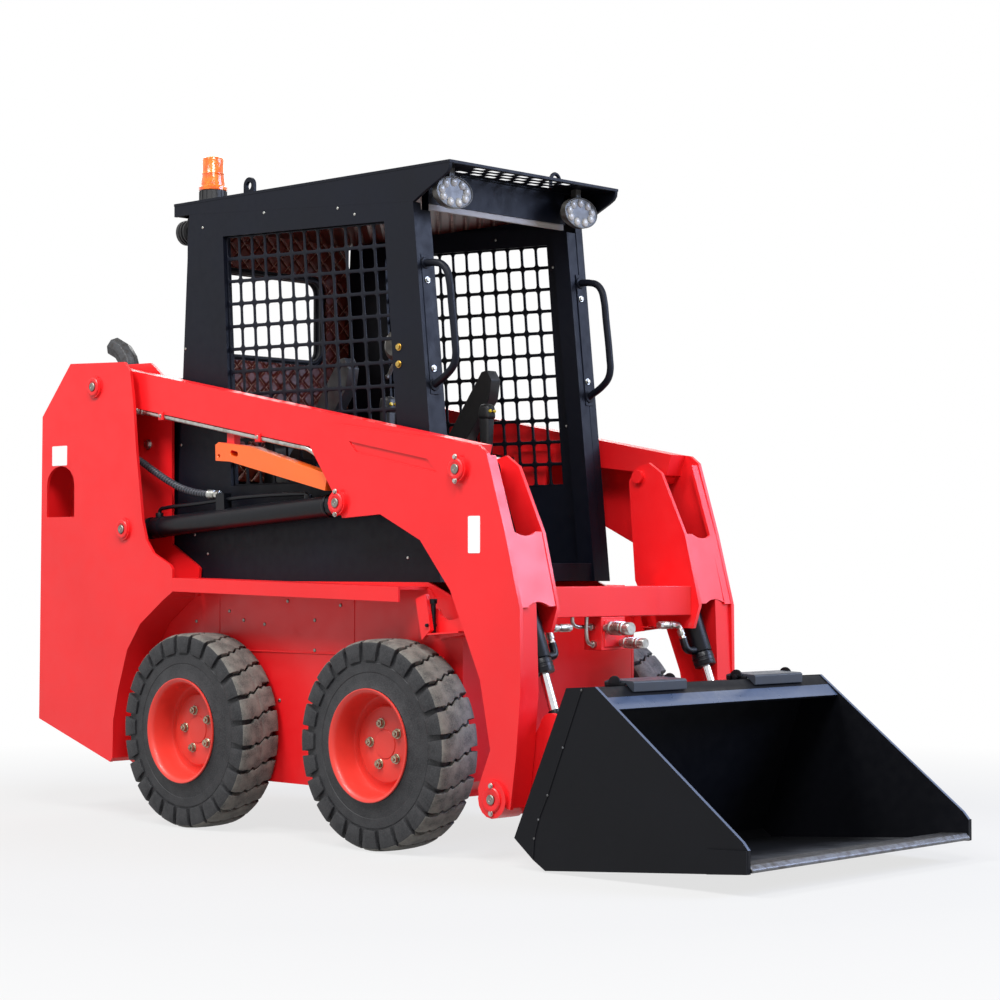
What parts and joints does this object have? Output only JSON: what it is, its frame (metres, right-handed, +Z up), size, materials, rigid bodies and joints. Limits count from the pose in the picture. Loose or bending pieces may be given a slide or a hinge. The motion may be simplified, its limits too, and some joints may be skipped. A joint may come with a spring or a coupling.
{
  "type": "skid steer loader",
  "caption": "Compact skid steer loader with caged operator's cab, rear engine, lift arms pivoted high at the back and a flat-floored bucket on a quick coupler.",
  "frame": {"origin": "middle of the footprint on the ground, under the middle of the whole length", "axes": "+X forward towards the bucket, +Y to the machine's left, +Z up"},
  "size_m": [2.987, 1.056, 2.1342],
  "materials": {
    "chassis": "sprayed enamel",
    "tower_right": "sprayed enamel",
    "fender_right": "sprayed enamel",
    "cab_side_right": "powder coat",
    "side_mesh_right": "powder coat",
    "tower_left": "sprayed enamel",
    "fender_left": "sprayed enamel",
    "cab_side_left": "powder coat",
    "side_mesh_left": "powder coat",
    "cab_rear_wall": "powder coat",
    "cab_roof": "powder coat",
    "cab_floor": "powder coat",
    "cab_lining": "quilted",
    "seat_base": "powder coat",
    "seat": "moulded vinyl",
    "control_lever_right": "moulded",
    "grab_handle_right": "powder coat",
    "front_lamp_right": "clear moulded",
    "control_lever_left": "moulded",
    "grab_handle_left": "powder coat",
    "front_lamp_left": "clear moulded",
    "rear_lamp": "moulded",
    "beacon": "amber moulded",
    "engine": "bare casting",
    "engine_cowl": "powder coat",
    "exhaust": "bare casting",
    "arm_right": "sprayed enamel",
    "arm_pipe_right": "zinc plated",
    "arm_left": "sprayed enamel",
    "arm_pipe_left": "zinc plated",
    "arm_cross_beam": "sprayed enamel",
    "hydraulic_block": "zinc plated",
    "safety_strut": "sprayed enamel",
    "lift_barrel_right": "powder coat",
    "lift_rod_right": "hard chrome",
    "tilt_barrel_right": "powder coat",
    "tilt_rod_right": "hard chrome",
    "rim_rear_right": "sprayed enamel",
    "tyre_rear_right": "moulded rubber",
    "rim_front_right": "sprayed enamel",
    "tyre_front_right": "moulded rubber",
    "lift_barrel_left": "powder coat",
    "lift_rod_left": "hard chrome",
    "tilt_barrel_left": "powder coat",
    "tilt_rod_left": "hard chrome",
    "rim_rear_left": "sprayed enamel",
    "tyre_rear_left": "moulded rubber",
    "rim_front_left": "sprayed enamel",
    "tyre_front_left": "moulded rubber",
    "quick_coupler": "sprayed enamel",
    "bucket": "powder coat",
    "cutting_edge": "worn",
    "latch_cover_right": "powder coat",
    "latch_cover_left": "powder coat",
    "arm_rest_right": "moulded vinyl",
    "arm_rest_left": "moulded vinyl",
    "rear_door": "sprayed enamel"
  },
  "bodies": {
    "frame": {"chassis": "chassis", "tower_right": "tower_right", "fender_right": "fender_right", "cab_side_right": "cab_side_right", "side_mesh_right": "side_mesh_right", "tower_left": "tower_left", "fender_left": "fender_left", "cab_side_left": "cab_side_left", "side_mesh_left": "side_mesh_left", "cab_rear_wall": "cab_rear_wall", "cab_roof": "cab_roof", "cab_floor": "cab_floor", "cab_lining": "cab_lining", "seat_base": "seat_base", "seat": "seat", "control_lever_right": "control_lever_right", "grab_handle_right": "grab_handle_right", "front_lamp_right": "front_lamp_right", "control_lever_left": "control_lever_left", "grab_handle_left": "grab_handle_left", "front_lamp_left": "front_lamp_left", "rear_lamp": "rear_lamp", "beacon": "beacon", "engine": "engine", "engine_cowl": "engine_cowl", "exhaust": "exhaust"},
    "loader_arms": {"arm_right": "arm_right", "arm_pipe_right": "arm_pipe_right", "arm_left": "arm_left", "arm_pipe_left": "arm_pipe_left", "arm_cross_beam": "arm_cross_beam", "hydraulic_block": "hydraulic_block", "safety_strut": "safety_strut"},
    "lift_barrel_right": {"lift_barrel_right": "lift_barrel_right"},
    "lift_rod_right": {"lift_rod_right": "lift_rod_right"},
    "tilt_barrel_right": {"tilt_barrel_right": "tilt_barrel_right"},
    "tilt_rod_right": {"tilt_rod_right": "tilt_rod_right"},
    "wheel_rear_right": {"rim_rear_right": "rim_rear_right", "tyre_rear_right": "tyre_rear_right"},
    "wheel_front_right": {"rim_front_right": "rim_front_right", "tyre_front_right": "tyre_front_right"},
    "lift_barrel_left": {"lift_barrel_left": "lift_barrel_left"},
    "lift_rod_left": {"lift_rod_left": "lift_rod_left"},
    "tilt_barrel_left": {"tilt_barrel_left": "tilt_barrel_left"},
    "tilt_rod_left": {"tilt_rod_left": "tilt_rod_left"},
    "wheel_rear_left": {"rim_rear_left": "rim_rear_left", "tyre_rear_left": "tyre_rear_left"},
    "wheel_front_left": {"rim_front_left": "rim_front_left", "tyre_front_left": "tyre_front_left"},
    "bucket": {"quick_coupler": "quick_coupler", "bucket": "bucket", "cutting_edge": "cutting_edge", "latch_cover_right": "latch_cover_right", "latch_cover_left": "latch_cover_left"},
    "arm_rest_right": {"arm_rest_right": "arm_rest_right"},
    "arm_rest_left": {"arm_rest_left": "arm_rest_left"},
    "rear_door": {"rear_door": "rear_door"}
  },
  "joints": [
    {"name": "arms_lift", "type": "hinge", "parent": "frame", "child": "loader_arms", "pos_m": [-1.1895, 0, 1.388], "axis": [0, -1, 0], "range_deg": [0, 62]},
    {"name": "bucket_tilt", "type": "hinge", "parent": "loader_arms", "child": "bucket", "pos_m": [0.5985, 0, 0.175], "axis": [0, 1, 0], "range_deg": [-22, 105]},
    {"name": "lift_barrel_swing_right", "type": "hinge", "parent": "loader_arms", "child": "lift_barrel_right", "pos_m": [-0.0295, -0.4125, 0.989], "axis": [0, -1, 0], "range_deg": [-4, 0.5]},
    {"name": "lift_rod_slide_right", "type": "slide", "parent": "lift_barrel_right", "child": "lift_rod_right", "axis": [-0.9979, 0, -0.0648], "range_m": [0, 0.51]},
    {"name": "tilt_barrel_swing_right", "type": "hinge", "parent": "loader_arms", "child": "tilt_barrel_right", "pos_m": [0.4635, -0.348, 1.073], "axis": [0, -1, 0], "range_deg": [-3, 1]},
    {"name": "tilt_rod_slide_right", "type": "slide", "parent": "tilt_barrel_right", "child": "tilt_rod_right", "axis": [0.3574, 0, -0.934], "range_m": [-0.075, 0.34]},
    {"name": "wheel_rear_right_spin", "type": "hinge", "parent": "frame", "child": "wheel_rear_right", "pos_m": [-0.6875, -0.45, 0.3], "axis": [0, 1, 0], "continuous": true},
    {"name": "wheel_front_right_spin", "type": "hinge", "parent": "frame", "child": "wheel_front_right", "pos_m": [0.1615, -0.45, 0.3], "axis": [0, 1, 0], "continuous": true},
    {"name": "arm_rest_swing_right", "type": "hinge", "parent": "frame", "child": "arm_rest_right", "pos_m": [-0.4725, -0.3, 1.03], "axis": [0, -1, 0], "range_deg": [-50, 0]},
    {"name": "lift_barrel_swing_left", "type": "hinge", "parent": "loader_arms", "child": "lift_barrel_left", "pos_m": [-0.0295, 0.4125, 0.989], "axis": [0, -1, 0], "range_deg": [-4, 0.5]},
    {"name": "lift_rod_slide_left", "type": "slide", "parent": "lift_barrel_left", "child": "lift_rod_left", "axis": [-0.9979, 0, -0.0648], "range_m": [0, 0.51]},
    {"name": "tilt_barrel_swing_left", "type": "hinge", "parent": "loader_arms", "child": "tilt_barrel_left", "pos_m": [0.4635, 0.348, 1.073], "axis": [0, -1, 0], "range_deg": [-3, 1]},
    {"name": "tilt_rod_slide_left", "type": "slide", "parent": "tilt_barrel_left", "child": "tilt_rod_left", "axis": [0.3574, 0, -0.934], "range_m": [-0.075, 0.34]},
    {"name": "wheel_rear_left_spin", "type": "hinge", "parent": "frame", "child": "wheel_rear_left", "pos_m": [-0.6875, 0.45, 0.3], "axis": [0, 1, 0], "continuous": true},
    {"name": "wheel_front_left_spin", "type": "hinge", "parent": "frame", "child": "wheel_front_left", "pos_m": [0.1615, 0.45, 0.3], "axis": [0, 1, 0], "continuous": true},
    {"name": "arm_rest_swing_left", "type": "hinge", "parent": "frame", "child": "arm_rest_left", "pos_m": [-0.4725, 0.3, 1.03], "axis": [0, -1, 0], "range_deg": [-50, 0]},
    {"name": "rear_door_swing", "type": "hinge", "parent": "frame", "child": "rear_door", "pos_m": [-1.483, 0.3545, 0.828], "axis": [0, 0, -1], "range_deg": [0, 95]}
  ],
  "couplings": [
    {"joint": "lift_barrel_swing_right", "follows": "arms_lift", "ratio": -0.06},
    {"joint": "lift_rod_slide_right", "follows": "arms_lift", "m_per_rad": 0.465},
    {"joint": "tilt_barrel_swing_right", "follows": "bucket_tilt", "ratio": -0.025},
    {"joint": "tilt_rod_slide_right", "follows": "bucket_tilt", "m_per_rad": 0.1825},
    {"joint": "lift_barrel_swing_left", "follows": "arms_lift", "ratio": -0.06},
    {"joint": "lift_rod_slide_left", "follows": "arms_lift", "m_per_rad": 0.465},
    {"joint": "tilt_barrel_swing_left", "follows": "bucket_tilt", "ratio": -0.025},
    {"joint": "tilt_rod_slide_left", "follows": "bucket_tilt", "m_per_rad": 0.1825}
  ]
}
